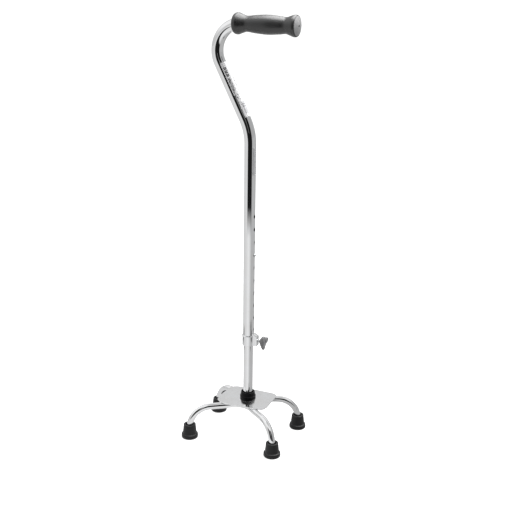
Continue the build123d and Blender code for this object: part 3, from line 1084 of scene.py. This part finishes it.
def floor_material():
    """A pale floor that stays white where no shadow falls."""
    material, _, shader = new_material("floor")
    shader.inputs["Base Color"].default_value = (0.5, 0.5, 0.5, 1)
    shader.inputs["Roughness"].default_value = 0.9
    shader.inputs["Specular IOR Level"].default_value = 0.0
    shader.inputs["Emission Color"].default_value = (1, 1, 1, 1)
    shader.inputs["Emission Strength"].default_value = 0.78
    return material


def paper_material():
    """The white paper under the object, as the object sees it, with the gap and the cards in it dark."""
    material, tree, shader = new_material("paper")
    tree.nodes.remove(shader)
    where = tree.nodes.new("ShaderNodeTexCoord").outputs["Object"]
    ahead, right, _ = stage_axes(tree, where)
    tone, gap = ring_light(tree, ahead, right, PAPER_LIGHT)
    length = tree.nodes.new("ShaderNodeVectorMath")
    length.operation = "LENGTH"
    tree.links.new(where, length.inputs[0])
    far = spread(tree, length.outputs["Value"], 0, 1, *PAPER_EDGE)
    dark = math_node(tree, "MULTIPLY", gap, far)
    angle = ring_angle(tree, right, ahead)
    for at, half_width, near, off in FLAGS:
        across = edge(tree, angle, at, half_width, 3)
        deep = edge(tree, length.outputs["Value"], (near + off) / 2, (off - near) / 2, 0.04)
        dark = math_node(tree, "MAXIMUM", dark, math_node(tree, "MULTIPLY", across, deep))
    dark = math_node(tree, "MULTIPLY", dark, DARKEST)
    emission = tree.nodes.new("ShaderNodeEmission")
    tree.links.new(tone, emission.inputs["Color"])
    tree.links.new(math_node(tree, "SUBTRACT", 1.0, dark), emission.inputs["Strength"])
    tree.links.new(emission.outputs[0], tree.nodes["Material Output"].inputs["Surface"])
    return material


def make_stage():
    """The floor as the camera sees it, the paper as the object sees it, and the studio round them."""
    wide = 30.0

    def square(z):
        return [(-wide, -wide, z), (wide, -wide, z), (wide, wide, z), (-wide, wide, z)]

    card("floor", square(0), floor_material(), glossy=False, diffuse=False)
    card("paper", square(-1 * MM), paper_material(), camera=False)
    studio_sky()


def soft_light(name, at, aim, width, height, watts, lit):
    """A soft box that lights only the collection it is given, and leaves no hot spot in the chrome."""
    data = bpy.data.lights.new(name, "AREA")
    data.shape = "RECTANGLE"
    data.size = width
    data.size_y = height
    data.energy = watts
    light = bpy.data.objects.new(name, data)
    bpy.context.scene.collection.objects.link(light)
    light.location = at
    light.rotation_mode = "QUATERNION"
    light.rotation_quaternion = (Vector(aim) - Vector(at)).to_track_quat("-Z", "Y")
    light.light_linking.receiver_collection = lit


def make_lights():
    """Two soft boxes for the pieces that aren't chrome."""
    lit = bpy.data.collections.new("soft_lit")
    for obj in bpy.context.scene.objects:
        chromed = any("chrome" in slot.name for slot in obj.material_slots)
        if obj.type == "MESH" and not chromed:
            lit.objects.link(obj)
    soft_light("top_light", (0.2, 0.5, 2.3), (0.1, 0.1, 0.5), 2.0, 2.0, 75, lit)
    soft_light("right_light", around_stage(112, 2.2, 1.5), (0.05, 0.0, 0.8), 1.6, 1.2, 26, lit)


def studio_sky():
    """Pale studio walls all round, with a brighter ceiling, a tall soft box to the left, and a dark gap
    with a strip lamp in it where the camera stands. The camera itself sees only white."""
    world = bpy.data.worlds.new("studio")
    bpy.context.scene.world = world
    world.use_nodes = True
    tree = world.node_tree
    tree.nodes.clear()
    output = tree.nodes.new("ShaderNodeOutputWorld")
    where = tree.nodes.new("ShaderNodeTexCoord").outputs["Generated"]
    ahead, right, up = stage_axes(tree, where)
    tone, gap = ring_light(tree, ahead, right, WALL_LIGHT)
    level = math_node(tree, "ARCSINE", up)
    below = math_node(tree, "SUBTRACT", math.radians(GAP_TOP), level)
    below = math_node(tree, "DIVIDE", below, math.radians(4), clamp=True)
    dark = math_node(tree, "MULTIPLY", math_node(tree, "MULTIPLY", gap, below), DARKEST)
    ceiling = spread(tree, level, 0, CEILING_LIGHT, math.radians(26), math.radians(42))
    zenith = spread(tree, level, 1.0, 0.1, math.radians(58), math.radians(72))
    ceiling = math_node(tree, "MULTIPLY", ceiling, zenith)
    left = edge(tree, ring_angle(tree, right, ahead), LEFT_BOX_AT, LEFT_BOX_HALF_WIDTH, 20)
    rise = spread(tree, level, 0, CEILING_LIGHT, math.radians(8), math.radians(26))
    ceiling = math_node(tree, "MAXIMUM", ceiling, math_node(tree, "MULTIPLY", left, rise))
    lamp_here = compare(tree, ring_angle(tree, right, ahead), LAMP_AT, LAMP_HALF_WIDTH)
    lamp_tone = spread(tree, level, *LAMP_TONES, math.radians(8), math.radians(34))
    lamp = math_node(tree, "MULTIPLY", lamp_here, lamp_tone)
    bright = math_node(tree, "ADD", tone, ceiling)
    glow = math_node(tree, "MULTIPLY", bright, math_node(tree, "SUBTRACT", 1.0, dark))
    glow = math_node(tree, "ADD", glow, lamp)
    path = tree.nodes.new("ShaderNodeLightPath")
    seen = math_node(tree, "MAXIMUM", glow, path.outputs["Is Camera Ray"])
    background = tree.nodes.new("ShaderNodeBackground")
    background.inputs["Color"].default_value = (1, 1, 1, 1)
    tree.links.new(seen, background.inputs["Strength"])
    tree.links.new(background.outputs[0], output.inputs["Surface"])


# ------------------------------------------------------------------ finish of the CAD pieces that stay

KEPT = {
    "base_plate": CHROME_PLATE,
    "snap_button": ZINC,
    "base_bolt": ZINC,
    "base_washer": ZINC,
    "clamp_nut": ZINC,
    "thumb_screw": ZINC,
    "shaft_plug": ZINC,
    "guide_bush": NYLON,
    "screw_pad": NYLON,
    "label_upper": LABEL_UPPER,
    "label_middle": LABEL_MIDDLE,
    "label_lower": LABEL_LOWER,
}
for row in ("outer", "inner"):
    for end in ("front", "rear"):
        KEPT[f"foot_washer_{end}_{row}"] = ZINC


def dress_kept():
    """Gives the CAD pieces that stay their materials."""
    for node, material in KEPT.items():
        mesh = frame["nodes"][node].data
        mesh.materials.clear()
        mesh.materials.append(material)


make_camera()
make_stage()
make_upper_tube()
make_lower_tube()
for row in ("outer", "inner"):
    make_leg_tube(row)
    make_welds(row)
make_grip()
make_feet()
make_boot()
make_collar()
make_knob()
make_spring()
dress_kept()
make_lights()
bpy.context.scene.view_settings.view_transform = "Standard"
